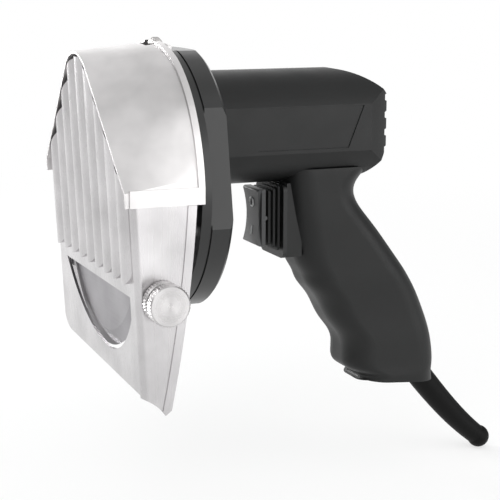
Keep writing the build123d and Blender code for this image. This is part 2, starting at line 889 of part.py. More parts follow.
def guide_pin():
    """The fixed pin in the right wall's slot."""
    y0 = inner_half - slide_gap - bracket_thick
    y1 = head_half_width + slide_gap
    pin = rod_y(guide_pin_radius, y0, y1, clamp_x, clamp_z)
    return pin + rod_y(guide_pin_head_radius, y1 - slide_gap / 2, y1 + guide_pin_head, clamp_x, clamp_z)


# Motor


def rotor():
    front = stator_front_x
    core = rod_x(stator_bore - rotor_gap, front, front + stator_length, 0, motor_z)
    for k in range(rotor_slots):
        a = 2 * math.pi * k / rotor_slots
        cut = block(
            front - over, front + stator_length + over, -slot_width / 2, slot_width / 2,
            stator_bore - slot_depth, stator_bore + over,
        )
        core -= Pos(0, 0, motor_z) * Rot(math.degrees(a), 0, 0) * cut
    return core - rod_x(shaft_radius, front - over, front + stator_length + over, 0, motor_z)


def motor_shaft():
    return rod_x(shaft_radius, shaft_front_x, shaft_rear_x, 0, motor_z)


def pinion():
    turn = math.pi / pinion_teeth * (1 if pinion_teeth % 2 == 0 else 0)
    x0 = wheel_x - (pinion_face - gear_face) / 2
    gear = involute_gear(pinion_teeth, pinion_face, x0, motor_z, turn)
    return gear - rod_x(shaft_radius, x0 - over, x0 + pinion_face + over, 0, motor_z)


def commutator():
    drum = rod_x(commutator_radius, commutator_x, commutator_x + commutator_length, 0, motor_z)
    for k in range(rotor_slots):
        cut = block(
            commutator_x - over, commutator_x + commutator_length * 0.8, -slot_width / 6, slot_width / 6,
            commutator_radius - slot_width / 2, commutator_radius + over,
        )
        drum -= Pos(0, 0, motor_z) * Rot(360.0 * k / rotor_slots, 0, 0) * cut
    return drum - rod_x(shaft_radius, commutator_x - over, commutator_x + commutator_length + over, 0, motor_z)


def fan():
    wheel = rod_x(fan_radius, fan_x, fan_x + fan_plate, 0, motor_z)
    wheel += rod_x(fan_hub_radius, fan_x, fan_x + fan_depth, 0, motor_z)
    for k in range(fan_blades):
        vane = block(
            fan_x, fan_x + fan_depth, -fan_plate / 2, fan_plate / 2, fan_hub_radius - fan_plate, fan_radius - fan_plate
        )
        wheel += Pos(0, 0, motor_z) * Rot(360.0 * k / fan_blades, 0, 0) * vane
    return wheel - rod_x(shaft_radius, fan_x - over, fan_x + fan_depth + over, 0, motor_z)


def stator():
    end = stator_front_x + stator_length
    core = rod_x(stator_radius, stator_front_x, end, 0, motor_z)
    core -= rod_x(stator_bore, stator_front_x - over, end + over, 0, motor_z)
    for side in (-1, 1):
        core -= block(
            stator_front_x - over, end + over, min(0, side * stator_radius), max(0, side * stator_radius),
            motor_z - stator_bore * 0.36, motor_z + stator_bore * 0.36,
        ) & (
            rod_x(stator_radius - shell_wall, stator_front_x - over, end + over, 0, motor_z)
        )
    return core


def field_coils():
    """The end turns of the field windings, one ring at each end of the stator."""
    rings = []
    for x0 in (stator_front_x - coil_length, stator_front_x + stator_length):
        ring = rod_x(stator_radius - coil_rise / 2, x0, x0 + coil_length, 0, motor_z)
        ring -= rod_x(stator_bore + coil_rise / 2, x0 - over, x0 + coil_length + over, 0, motor_z)
        rings.append(ring)
    return rings


def brushes():
    out = []
    x = commutator_x + commutator_length / 2
    for side in (-1, 1):
        y0 = side * (commutator_radius + brush_gap)
        y1 = y0 + side * brush_length
        out.append(
            block(
                x - brush_width / 2, x + brush_width / 2, min(y0, y1), max(y0, y1),
                motor_z - brush_height / 2, motor_z + brush_height / 2,
            )
        )
    return out


def brush_holders():
    out = []
    x = commutator_x + commutator_length / 2
    wall = fan_plate
    for side in (-1, 1):
        y0 = side * (commutator_radius + brush_length / 3)
        y1 = side * (barrel_bore_radius - brush_gap)
        box = block(
            x - brush_width / 2 - wall, x + brush_width / 2 + wall, min(y0, y1), max(y0, y1),
            motor_z - brush_height / 2 - wall, motor_z + brush_height / 2 + wall,
        )
        hole = block(
            x - brush_width / 2 - brush_gap, x + brush_width / 2 + brush_gap,
            min(y0 - side * over, y1 - side * wall), max(y0 - side * over, y1 - side * wall),
            motor_z - brush_height / 2 - brush_gap, motor_z + brush_height / 2 + brush_gap,
        )
        box &= rod_x(barrel_bore_radius - brush_gap, x - brush_length, x + brush_length, 0, motor_z)
        out.append(box - hole)
    return out


# Motor housing and grip

# Sections of the grip: height, front x, rear x and half width
grip_sections = [
    (2.0, 60.0, 104.5, 19.5),
    (-5.0, 60.8, 100.0, 19.4),
    (-11.0, 61.8, 98.4, 19.2),
    (-18.0, 63.0, 101.4, 19.0),
    (-26.3, 64.6, 108.1, 18.7),
    (-34.8, 66.4, 114.9, 18.4),
    (-43.4, 68.4, 121.4, 18.1),
    (-52.0, 73.0, 127.7, 18.0),
    (-58.5, 76.2, 131.8, 17.8),
    (-65.0, 81.2, 135.3, 17.6),
    (-73.5, 85.6, 139.0, 17.5),
    (-82.4, 92.0, 142.2, 17.7),
    (-91.0, 95.2, 144.2, 17.9),
    (-99.5, 96.0, 145.0, 18.1),
    (grip_low_z, 95.4, 145.3, 18.0),
]


def half_space(side):
    """Everything on one side of the middle plane."""
    size = rear_x * 2
    y0, y1 = sorted((0.0, side * size))
    return block(-size, size, y0, y1, -size, size)


def grip_form(inset, rise):
    """The grip, lofted through rounded sections, each drawn in by the inset, above a sloping heel."""
    sections = []
    for z, front, rear, half in grip_sections:
        length, width = rear - front - 2 * inset, 2 * (half - inset)
        corner = min(grip_corner, half) - inset
        face = Plane(origin=((front + rear) / 2, 0, z)) * RectangleRounded(length, width, corner)
        sections.append(face)
    form = loft(sections)
    slope = (heel_rear_z - heel_arch_z) / (heel_rear_x - heel_arch_x)
    size, top = 2 * rear_x, grip_sections[0][0]
    outline = [
        (0, top), (size, top), (size, heel_arch_z + rise + (size - heel_arch_x) * slope),
        (heel_arch_x, heel_arch_z + rise), (heel_front_x, heel_front_z + rise), (0, heel_front_z + rise),
    ]
    return form & prism_y(outline, -barrel_radius, barrel_radius)


def barrel_form(side):
    """One half of the motor barrel: side outline, section and plan, each through the others."""
    top = motor_z + barrel_radius
    low = motor_z - barrel_radius
    outline = [
        Line((barrel_front_x, low), (barrel_front_x, top)),
        Line((barrel_front_x, top), (taper_x, top)),
        ThreePointArc((taper_x, top), (taper_mid_x, top - taper_mid_drop), (rear_x, rear_top_z)),
        Line((rear_x, rear_top_z), (rear_x, rear_low_z + barrel_radius / 4)),
        ThreePointArc(
            (rear_x, rear_low_z + barrel_radius / 4),
            (rear_x - barrel_radius / 8, rear_low_z),
            (rear_x - barrel_radius / 3, low + barrel_radius / 8),
        ),
        Line((rear_x - barrel_radius / 3, low + barrel_radius / 8), (rear_x - barrel_radius / 2, low)),
        Line((rear_x - barrel_radius / 2, low), (barrel_front_x, low)),
    ]
    face = make_face(Curve() + outline)
    form = extrude(xz_plane(max(0, side * barrel_radius)) * face, barrel_radius)
    section = yz_plane(barrel_front_x, 0, motor_z) * (
        Circle(barrel_radius) & Rectangle(2 * barrel_flat_half, 2 * barrel_radius)
    )
    form &= extrude(section, rear_x - barrel_front_x)
    plan = [
        Line((barrel_front_x, -barrel_radius), (taper_x, -barrel_radius)),
        ThreePointArc(
            (taper_x, -barrel_radius), (taper_mid_x, -barrel_flat_half), (rear_x, -barrel_end_half + shell_wall)
        ),
        Line((rear_x, -barrel_end_half + shell_wall), (rear_x, barrel_end_half - shell_wall)),
        ThreePointArc(
            (rear_x, barrel_end_half - shell_wall), (taper_mid_x, barrel_flat_half), (taper_x, barrel_radius)
        ),
        Line((taper_x, barrel_radius), (barrel_front_x, barrel_radius)),
        Line((barrel_front_x, barrel_radius), (barrel_front_x, -barrel_radius)),
    ]
    deep = Plane(origin=(0, 0, low - over))
    form &= extrude(deep * make_face(Curve() + plan), 2 * barrel_radius + 2 * over)
    return form


def side_panel(side):
    """The shallow recess in the barrel's flat side."""
    points = [
        (panel_front_low_x, motor_z + panel_low_dz),
        (panel_front_top_x, motor_z + panel_top_dz),
        (panel_rear_top_x, motor_z + panel_top_dz),
        (panel_rear_low_x, motor_z + panel_low_dz),
    ]
    depth = barrel_flat_half - panel_recess
    y0, y1 = sorted((side * depth, side * (barrel_radius + over)))
    return prism_y(points, y0, y1)


def grip_line(side):
    """The fine joint line down the side of the grip."""
    points = [
        (line_top_x, line_top_z), (line_top_x + line_groove, line_top_z),
        (line_low_x + line_groove, line_low_z), (line_low_x, line_low_z),
    ]
    depth = grip_sections[2][3] - line_groove
    y0, y1 = sorted((side * depth, side * barrel_radius))
    return prism_y(points, y0, y1)


def motor_room(side):
    """The hollow of one half: the motor's bore and the inside of the grip."""
    bore = rod_x(barrel_bore_radius, barrel_front_x - over, bore_step_x, 0, motor_z)
    bore += rod_x(bore_rear_radius, bore_step_x - over, bore_end_x, 0, motor_z)
    grip = grip_form(grip_wall, grip_wall)
    return (bore & half_space(side)) + (grip & half_space(side))


def bearing_wall(side):
    """The wall across the bore that holds the motor's rear bearing."""
    x0, x1 = rear_bearing_x, rear_bearing_x + motor_bearing_width
    wall = rod_x(bore_rear_radius + shell_wall / 2, x0, x1, 0, motor_z) & half_space(side)
    wall -= rod_x(rear_bearing_radius, x0 - over, x1 + over, 0, motor_z)
    return wall


def vents():
    """The louvres across the rear end, open into the motor's room behind the middle stretch."""
    cuts = []
    half = barrel_end_half * 0.5
    for k in range(vent_count):
        z0 = vent_low_z + k * vent_pitch
        z1 = z0 + vent_height
        groove = [
            (rear_x - vent_depth, z0), (rear_x, z0 - vent_slope), (rear_x + over, z0 - vent_slope),
            (rear_x + over, z1 + vent_slope), (rear_x, z1 + vent_slope), (rear_x - vent_depth, z1),
        ]
        cuts.append(prism_y(groove, -barrel_radius, barrel_radius))
        if z1 < motor_z + half:
            cuts.append(block(bore_end_x - over, rear_x + over, -half, half, z0, z1))
    return cuts


def switch_mount():
    """The block that fills the gap between the switch's bezel and the grip."""
    half = bezel_half_y - line_groove
    x0 = bezel_front_x + bezel_thick
    return block(x0, x0 + switch_mount_depth, -half, half, bezel_low_z + line_groove, bezel_top_z + line_groove)


def shell_half(side):
    """One half of the motor housing and grip, parted from the other on the middle plane."""
    outer = barrel_form(side) + (grip_form(0, 0) & half_space(side))
    outer += switch_mount() & half_space(side)
    shell = outer - motor_room(side)
    shell += bearing_wall(side)
    shell -= side_panel(side)
    shell -= grip_line(side)
    for cut in vents():
        shell -= cut
    shell -= rounded_plate(
        bezel_front_x, bezel_half_y + sleeve_fit, bezel_low_z, bezel_top_z + sleeve_fit, bezel_thick, switch_corner
    )
    half = switch_body_half_y + sleeve_fit
    shell -= block(
        switch_rear_x, bezel_front_x + grip_wall * 5, -half, half, switch_low_z - sleeve_fit * 2,
        switch_top_z + sleeve_fit * 2,
    )
    for x, z in shell_screw_places:
        depth = housing_half(z)
        y0, y1 = sorted((0.0, side * (depth - shell_wall / 2)))
        shell += rod_y(boss_radius, y0, y1, x, z)
        shell -= rod_y(shell_screw_radius, -screw_end_y, barrel_radius, x, z)
        shell -= rod_y(shell_screw_head_radius + boss_gap, depth - shell_screw_head, barrel_radius, x, z)
    shell -= rod_x(barrel_bore_radius, barrel_front_x - over, bore_step_x, 0, motor_z)
    seat = sleeve_root_radius + sleeve_fit
    shell -= sleeve_rod(seat, -sleeve_inside * 2, sleeve_inside * 2)
    shell += clamp_ledge_block(side)
    flange = sleeve_flange_radius + sleeve_fit
    shell -= sleeve_rod(flange, -sleeve_inside - sleeve_flange - sleeve_fit, sleeve_fit - sleeve_inside)
    return shell


def housing_half(z):
    """Half width of the housing at a screw."""
    if z > 0:
        dz = abs(z - motor_z)
        return min(barrel_flat_half, math.sqrt(max(0.0, barrel_radius ** 2 - dz ** 2)))
    best = min(grip_sections, key=lambda s: abs(s[0] - z))
    return best[3]


def shell_screws():
    out = []
    for x, z in shell_screw_places:
        seat = housing_half(z) - shell_screw_head
        top = seat + shell_screw_head * 0.8
        head = rod_y(shell_screw_head_radius, seat, top, x, z)
        stem = rod_y(shell_screw_radius - bearing_gap, slide_gap - screw_end_y, seat, x, z)
        reach = shell_screw_head_radius * 0.6
        for dx, dz in ((reach, screw_cross / 3), (screw_cross / 3, reach)):
            head -= block(x - dx, x + dx, top - screw_cross, top + over, z - dz, z + dz)
        out.append(head + stem)
    return out


# Switch


def switch_rocker():
    """The rocker: a dished front between two scalloped sides, on a round pivot bar."""
    body = block(switch_front_x, switch_rear_x, -switch_half_y, switch_half_y, switch_low_z, switch_top_z)
    body = fillet(
        [e for e in body.edges().filter_by(Axis.Y) if e.center().X < switch_front_x + over], switch_corner
    )
    mid_z = (switch_low_z + switch_top_z) / 2
    half_z = (switch_top_z - switch_low_z) / 2
    radius = (half_z ** 2 + switch_waist ** 2) / (2 * switch_waist)
    for side in (-1, 1):
        y = side * (switch_half_y - switch_waist + radius)
        body -= rod_x(radius, switch_front_x - over, switch_rear_x - over, y, mid_z)
    dish = (half_z ** 2 + switch_dish ** 2) / (2 * switch_dish)
    body -= rod_y(
        dish, -switch_half_y - over, switch_half_y + over, switch_front_x + switch_dish - dish, mid_z
    )
    body += rod_y(switch_pivot_radius, -switch_half_y, switch_half_y, switch_pivot_x, mid_z)
    return body


def rounded_plate(x, half_y, z0, z1, thick, corner):
    face = RectangleRounded(2 * half_y, z1 - z0, corner)
    return extrude(yz_plane(x, 0, (z0 + z1) / 2) * face, thick)


def switch_boot():
    """The pleated rubber collar between rocker and bezel."""
    x = bezel_front_x - pleat_count * pleat_step
    core = rounded_plate(
        x, switch_half_y - boot_lip, switch_low_z + boot_lip, switch_top_z - boot_lip,
        pleat_count * pleat_step, switch_corner,
    )
    for k in range(pleat_count):
        grow = pleat_grow * (k + 1) - boot_lip
        core += rounded_plate(
            x + k * pleat_step, switch_half_y + grow, switch_low_z - grow, switch_top_z + grow,
            pleat_thick - pleat_grow / 2, switch_corner,
        )
    return core


def switch_bezel():
    plate = rounded_plate(bezel_front_x, bezel_half_y, bezel_low_z, bezel_top_z, bezel_thick, switch_corner * 2)
    hole = block(
        bezel_front_x - over, bezel_front_x + bezel_thick + over, -switch_body_half_y - sleeve_fit,
        switch_body_half_y + sleeve_fit, switch_low_z, switch_top_z,
    )
    return plate - hole


def switch_body():
    return block(
        bezel_front_x, switch_body_rear_x, -switch_body_half_y, switch_body_half_y,
        switch_low_z + sleeve_fit * 2, switch_top_z - sleeve_fit * 2,
    )


# Cord sleeve


def unit(a, b):
    length = math.hypot(b[0] - a[0], b[1] - a[1])
    return ((b[0] - a[0]) / length, (b[1] - a[1]) / length)


def sleeve_rod(radius, s0, s1):
    """A round bar on the line of the sleeve's root, between two distances along it."""
    d = unit(sleeve_root, sleeve_knee)
    start = (sleeve_root[0] + d[0] * s0, 0, sleeve_root[1] + d[1] * s0)
    plane = Plane(origin=start, x_dir=(0, 1, 0), z_dir=(d[0], 0, d[1]))
    return extrude(plane * Circle(radius), s1 - s0)


def sleeve_path():
    d = unit(sleeve_root, sleeve_knee)
    start = (sleeve_root[0] - d[0] * sleeve_inside * 1.5, 0, sleeve_root[1] - d[1] * sleeve_inside * 1.5)
    knee = (sleeve_knee[0], 0, sleeve_knee[1])
    e = unit(sleeve_knee, sleeve_end)
    tip = sleeve_bead_radius
    end = (sleeve_end[0] + e[0] * tip, 0, sleeve_end[1] + e[1] * tip)
    return FilletPolyline(start, knee, end, radius=sleeve_knee_r)


def cord_sleeve():
    """The tapered rubber sleeve, with a bead at its end and a flange inside the grip."""
    path = sleeve_path()
    length = path.length
    stations = [
        (0.0, sleeve_root_radius),
        (sleeve_inside * 1.5 / length, sleeve_root_radius),
        (0.5, sleeve_mid_radius),
        (0.92, sleeve_end_radius),
    ]
    sections = []
    for share, radius in stations:
        origin = path @ share
        direction = path % share
        sections.append(Plane(origin=origin, x_dir=(0, 1, 0), z_dir=direction) * Circle(radius))
    body = loft(sections)
    centre = path @ (1 - sleeve_bead_radius / length)
    body += Pos(*centre) * Sphere(sleeve_bead_radius)
    body += sleeve_rod(sleeve_flange_radius, -sleeve_inside - sleeve_flange, -sleeve_inside)
    bore_plane = Plane(origin=path @ 0, x_dir=(0, 1, 0), z_dir=path % 0)
    body -= sweep(bore_plane * Circle(sleeve_bore_radius), path=path)
    end_plane = Plane(origin=path @ 1, x_dir=(0, 1, 0), z_dir=path % 1)
    body -= extrude(end_plane * Circle(sleeve_bead_radius * 2), -over / 2)
    return body


def clamp_bar_place():
    """The middle of the clamp bar in X and Z, and half its length."""
    d = unit(sleeve_root, sleeve_knee)
    x = sleeve_root[0] - d[0] * clamp_bar_reach
    z = sleeve_root[1] - d[1] * clamp_bar_reach
    return x, z, grip_sections[-2][3] - grip_wall - clamp_bar_gap


def cord_clamp():
    """The bar that grips the cord inside the handle, above the sleeve."""
    x, z, half = clamp_bar_place()
    reach, rise = clamp_bar_width / 2, clamp_bar_thick / 2
    return block(x - reach, x + reach, -half, half, z - rise, z + rise)


def clamp_ledge_block(side):
    """The ledge inside one shell that an end of the clamp bar lies on."""
    x, z, half = clamp_bar_place()
    reach, top = clamp_bar_width / 2, z - clamp_bar_thick / 2
    y0, y1 = sorted((side * (half - clamp_ledge), side * (half + clamp_bar_gap + grip_wall / 2)))
    return block(x - reach, x + reach, y0, y1, top - clamp_ledge, top)


def main():
    os.makedirs("parts", exist_ok=True)
    save("depth_guide", front_plate())
    save("hood", hood())
    save("blade", blade())
    save("blade_screw", blade_screw())
    save("spindle", spindle())
    save("drive_gear", drive_wheel())
    save("gear_case", gear_case())
    save("gear_cover", gear_cover())
    save("gear_cover_screws", cover_screws())
    save("front_spindle_bearing", bearing(nose_tip_x, bearing_width, bearing_radius, spindle_radius, spindle_z))
    save(
        "middle_spindle_bearing",
        bearing(cover_thick - bearing_width, bearing_width, bearing_radius, spindle_radius, spindle_z),
    )
    save("clamp_bracket", bracket(-1))
    save("guide_bracket", bracket(1))
    save("guide_pin", guide_pin())
    side = clamp_place()
    save("side_knob", side.offset(washer_thick) * side_knob())
    save("side_washer", side * washer())
    top = top_place()
    save("top_knob", top.offset(washer_thick) * top_knob())
    save("top_washer", top * washer())
    save("motor_shaft", motor_shaft())
    save("pinion", pinion())
    save("rotor", rotor())
    save("commutator", commutator())
    save("fan", fan())
    save("stator", stator())
    save("field_coils", field_coils())
    save("carbon_brushes", brushes())
    save("brush_holders", brush_holders())
    x = case_depth + case_back - motor_bearing_width
    save("front_motor_bearing", bearing(x, motor_bearing_width, front_bearing_radius, shaft_radius, motor_z))
    save(
        "rear_motor_bearing",
        bearing(rear_bearing_x, motor_bearing_width, rear_bearing_radius, shaft_radius, motor_z),
    )
    save("left_shell", shell_half(-1))
    save("right_shell", shell_half(1))
    save("shell_screws", shell_screws())
    save("switch_rocker", switch_rocker())
    save("switch_boot", switch_boot())
    save("switch_bezel", switch_bezel())
    save("switch_body", switch_body())
    save("cord_sleeve", cord_sleeve())
    save("cord_clamp", cord_clamp())


main()
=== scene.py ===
# %% [markdown]
# An electric kebab slicer, dressed for a studio photograph. The shapes come from the packed
# model, and this script gives them their finishes: brushed stainless sheet, ground blade
# steel, textured black plastic and turned, knurled knobs. It then adds what is too fine for
# the solids, such as the marks on the switch, and sets the floor, the lamps and the camera.

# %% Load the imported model
import bpy
import math
import numpy as np
from mathutils import Matrix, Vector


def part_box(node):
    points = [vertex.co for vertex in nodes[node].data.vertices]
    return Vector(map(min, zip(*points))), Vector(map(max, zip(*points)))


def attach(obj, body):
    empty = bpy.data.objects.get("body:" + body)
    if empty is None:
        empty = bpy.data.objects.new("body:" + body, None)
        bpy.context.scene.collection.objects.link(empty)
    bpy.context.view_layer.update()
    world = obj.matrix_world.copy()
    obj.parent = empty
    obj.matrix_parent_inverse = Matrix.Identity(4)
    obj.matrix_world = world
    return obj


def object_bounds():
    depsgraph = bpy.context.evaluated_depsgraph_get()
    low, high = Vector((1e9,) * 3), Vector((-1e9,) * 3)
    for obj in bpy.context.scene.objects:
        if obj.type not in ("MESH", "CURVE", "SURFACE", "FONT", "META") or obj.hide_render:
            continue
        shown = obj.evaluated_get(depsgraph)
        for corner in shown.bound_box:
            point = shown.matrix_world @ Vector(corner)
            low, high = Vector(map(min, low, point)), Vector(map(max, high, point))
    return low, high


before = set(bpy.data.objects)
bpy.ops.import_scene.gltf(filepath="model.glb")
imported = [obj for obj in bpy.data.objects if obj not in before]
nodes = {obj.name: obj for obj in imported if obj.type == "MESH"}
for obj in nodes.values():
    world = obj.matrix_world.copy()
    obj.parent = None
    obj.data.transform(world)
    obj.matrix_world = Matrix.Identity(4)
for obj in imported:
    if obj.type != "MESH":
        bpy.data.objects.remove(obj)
cad_box = [list(map(float, corner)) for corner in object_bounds()]
print("nodes", len(nodes), "box", cad_box)

# %% [markdown]
# Colours are picked as sRGB hex, the way they are read off a screen. Blender's shaders work
# in linear light, so one function turns the hex into linear values. Blender's lengths are
# metres, so a length in millimetres is written as a number times MM.

# %% Units and colours
MM = 0.001


def linear(hex_code):
    """sRGB hex to linear: each channel over 255, then ((c + 0.055) / 1.055) to the power 2.4."""
    channels = np.array([int(hex_code[i:i + 2], 16) for i in (1, 3, 5)]) / 255
    low = channels / 12.92
    high = ((channels + 0.055) / 1.055) ** 2.4
    return (*np.where(channels <= 0.04045, low, high), 1.0)

# %% [markdown]
# A material is a small graph. One function adds a node, sets its values and links its
# inputs, so each recipe below reads as a list of what feeds what. Four more do what the
# recipes share: stretched noise, a texture's 0 to 1 turned into a range of values, a colour
# that wanders between a darker and a lighter shade of itself, and a surface that is tilted
# as if a texture stood up from it.

# %% Node helpers
def add(tree, kind, settings=None, **inputs):
    """Adds a node; settings are its properties, inputs are values or sockets by name."""
    node = tree.nodes.new(kind)
    for name, value in (settings or {}).items():
        setattr(node, name, value)
    for name, value in inputs.items():
        key = int(name[1:]) if name[0] == "i" and name[1:].isdigit() else name.replace("_", " ")
        if isinstance(value, bpy.types.NodeSocket):
            tree.links.new(value, node.inputs[key])
        else:
            node.inputs[key].default_value = value
    return node


def noise(tree, sizes_mm, detail):
    """Noise on object coordinates, with cells of the given sizes along X, Y and Z."""
    coords = add(tree, "ShaderNodeTexCoord").outputs["Object"]
    scale = tuple(1 / (size * MM) for size in sizes_mm)
    stretched = add(tree, "ShaderNodeMapping", Vector=coords, Scale=scale).outputs["Vector"]
    return add(tree, "ShaderNodeTexNoise", Vector=stretched, Scale=1.0, Detail=detail).outputs["Fac"]


def ranged(tree, value, low, high, settings=None, start=0.0, end=1.0):
    """Maps a value that runs from start to end onto low to high."""
    node = add(
        tree, "ShaderNodeMapRange", settings, Value=value,
        From_Min=start, From_Max=end, To_Min=low, To_Max=high,
    )
    return node.outputs["Result"]


def wandering(tree, value, colour, dark_share, light_share, start=0.0, end=1.0):
    """Shades a colour: times dark_share where the value is at start, light_share at end."""
    node = add(tree, "ShaderNodeValToRGB", Fac=value)
    for stop, place, share in zip(node.color_ramp.elements, (start, end), (dark_share, light_share)):
        stop.position = place
        stop.color = tuple(min(1, c * share) for c in colour[:3]) + (1,)
    return node.outputs["Color"]


def raised(tree, value, depth, height_mm):
    """Tilts the surface as if the value stood up by a height; depth says how much of it shows."""
    node = add(tree, "ShaderNodeBump", Height=value, Strength=depth, Distance=height_mm * MM)
    return node.outputs["Normal"]


def new_material(name):
    """An empty node material, and the tree to build it in."""
    material = bpy.data.materials.new(name)
    material.use_nodes = True
    material.node_tree.nodes.clear()
    return material, material.node_tree


def finish_material(material, tree, shader):
    """Links the last shader to the material's output."""
    out = add(tree, "ShaderNodeOutputMaterial")
    tree.links.new(shader.outputs[0], out.inputs["Surface"])
    return material

# %% [markdown]
# Brushed stainless sheet is rolled steel rubbed one way with a fine belt. The eye sees long
# streaks: a noise stretched along the grain changes the gloss a little and tilts the surface
# a little across its run. A second, slow noise gives the soft clouds of handled steel. The
# real grit leaves lines about 0.05 mm apart, which is too fine for this view, so they are
# drawn about 0.4 mm apart.

# %% Brushed stainless steel
CLOUD_MM = 25.0
CLOUD_DARK_SHARE, CLOUD_LIGHT_SHARE = 0.84, 1.1
CLOUD_START, CLOUD_END = 0.3, 0.7
STREAK_SMOOTHER, STREAK_ROUGHER = 0.07, 0.09
STREAK_HEIGHT_MM = 0.1


def brushed_steel(name, grain, hex_code, roughness, depth, streak_mm=0.4, run_mm=60.0):
    """Steel with streaks along one axis; grain is 0, 1 or 2 for X, Y or Z."""
    material, tree = new_material(name)
    sizes_mm = [streak_mm] * 3
    sizes_mm[grain] = run_mm
    streaks = noise(tree, sizes_mm, 4.0)
    clouds = noise(tree, [CLOUD_MM] * 3, 3.0)
    shader = add(
        tree, "ShaderNodeBsdfPrincipled", Metallic=1.0,
        Base_Color=wandering(
            tree, clouds, linear(hex_code), CLOUD_DARK_SHARE, CLOUD_LIGHT_SHARE, CLOUD_START, CLOUD_END
        ),
        Roughness=ranged(tree, streaks, roughness - STREAK_SMOOTHER, roughness + STREAK_ROUGHER),
        Normal=raised(tree, streaks, depth, STREAK_HEIGHT_MM),
    )
    return finish_material(material, tree, shader)

# %% [markdown]
# Turned steel comes off a lathe, so its marks are rings about the axis. A wave texture set
# to rings gives them, centred on the knob by a Mapping node; one of its waves is a twentieth
# of its unit. Fine rings also spread the shine across themselves, which gives the face its
# bright and dark wedges: the shader does that with anisotropy about the same axis.

# %% Turned steel
RING_MM = 0.9
WAVES_PER_UNIT = 20
RING_DEPTH, RING_HEIGHT_MM = 0.03, 0.08
RING_SMOOTHER, RING_ROUGHER = 0.04, 0.08
LATHE_SPREAD = 0.7


def turned_steel(name, node_name, axis, hex_code, roughness):
    """Steel with rings about an axis through the middle of a node."""
    material, tree = new_material(name)
    low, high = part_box(node_name)
    coords = add(tree, "ShaderNodeTexCoord").outputs["Object"]
    centred = add(
        tree, "ShaderNodeMapping", {"vector_type": "POINT"}, Vector=coords,
        Location=tuple(-(a + b) / 2 for a, b in zip(low, high)),
    )
    rings = add(
        tree, "ShaderNodeTexWave", {"wave_type": "RINGS", "rings_direction": axis},
        Vector=centred.outputs["Vector"], Scale=1 / (RING_MM * MM) / WAVES_PER_UNIT,
        Distortion=0.1, Detail=1.0,
    ).outputs["Fac"]
    around = add(tree, "ShaderNodeTangent", {"direction_type": "RADIAL", "axis": axis})
    shader = add(
        tree, "ShaderNodeBsdfPrincipled", Base_Color=linear(hex_code), Metallic=1.0, Anisotropic=LATHE_SPREAD,
        Roughness=ranged(tree, rings, roughness - RING_SMOOTHER, roughness + RING_ROUGHER),
        Normal=raised(tree, rings, RING_DEPTH, RING_HEIGHT_MM), Tangent=around.outputs["Tangent"],
    )
    return finish_material(material, tree, shader)

# %% [markdown]
# The housing is ABS moulded against a spark-eroded tool, which leaves a fine matt grain.
# The grain is really about 0.2 mm; it is drawn at 0.5 mm so that it shows. The same recipe
# with other numbers makes rubber, cast metal, windings and nylon. The gloss drifts in slow
# patches, as on a surface that has been touched.

# %% Moulded and cast finishes
PATCH_MM = 18.0
PATCH_SPREAD = 0.12
SMOOTHEST = 0.05
GRAIN_DARK_SHARE, GRAIN_LIGHT_SHARE = 0.85, 1.2
GRAIN_HEIGHT_MM = 0.12


def grained(name, hex_code, roughness, grain_mm, depth, shine=0.5, metallic=0.0):
    """A plain colour with a fine grain in its bump and slow patches in its gloss."""
    material, tree = new_material(name)
    grit = noise(tree, [grain_mm] * 3, 3.0)
    patch = noise(tree, [PATCH_MM] * 3, 4.0)
    smooth, rough = max(SMOOTHEST, roughness - PATCH_SPREAD), min(1.0, roughness + PATCH_SPREAD)
    shader = add(
        tree, "ShaderNodeBsdfPrincipled", Metallic=metallic, Specular_IOR_Level=shine,
        Base_Color=wandering(tree, grit, linear(hex_code), GRAIN_DARK_SHARE, GRAIN_LIGHT_SHARE),
        Roughness=ranged(tree, patch, smooth, rough), Normal=raised(tree, grit, depth, GRAIN_HEIGHT_MM),
    )
    return finish_material(material, tree, shader)

# %% [markdown]
# Each node of the model gets the finish of the real part. The outside sheet parts share a
# steel, but the grain runs along each part as the maker's belt did: across the hood, and up
# the guide. Small machined parts that no row names share one steel.

# %% Finishes for every node
# Node: material, grain axis, colour, roughness, streak depth, streak and run in mm.
BRUSHED = {
    "hood": ("brushed_stainless_hood", 1, "#E0DEDE", 0.46, 0.08),
    "depth_guide": ("brushed_stainless_guide", 2, "#CBC9CA", 0.28, 0.05),
    "blade": ("ground_blade_steel", 1, "#A09EA1", 0.4, 0.04, 0.6, 40.0),
}
# Node: material, turning axis, colour, roughness.
TURNED = {
    "side_knob": ("turned_stainless_knob", "Y", "#CBC9C9", 0.26),
    "top_knob": ("turned_stainless_top_knob", "X", "#BDBBBA", 0.3),
}
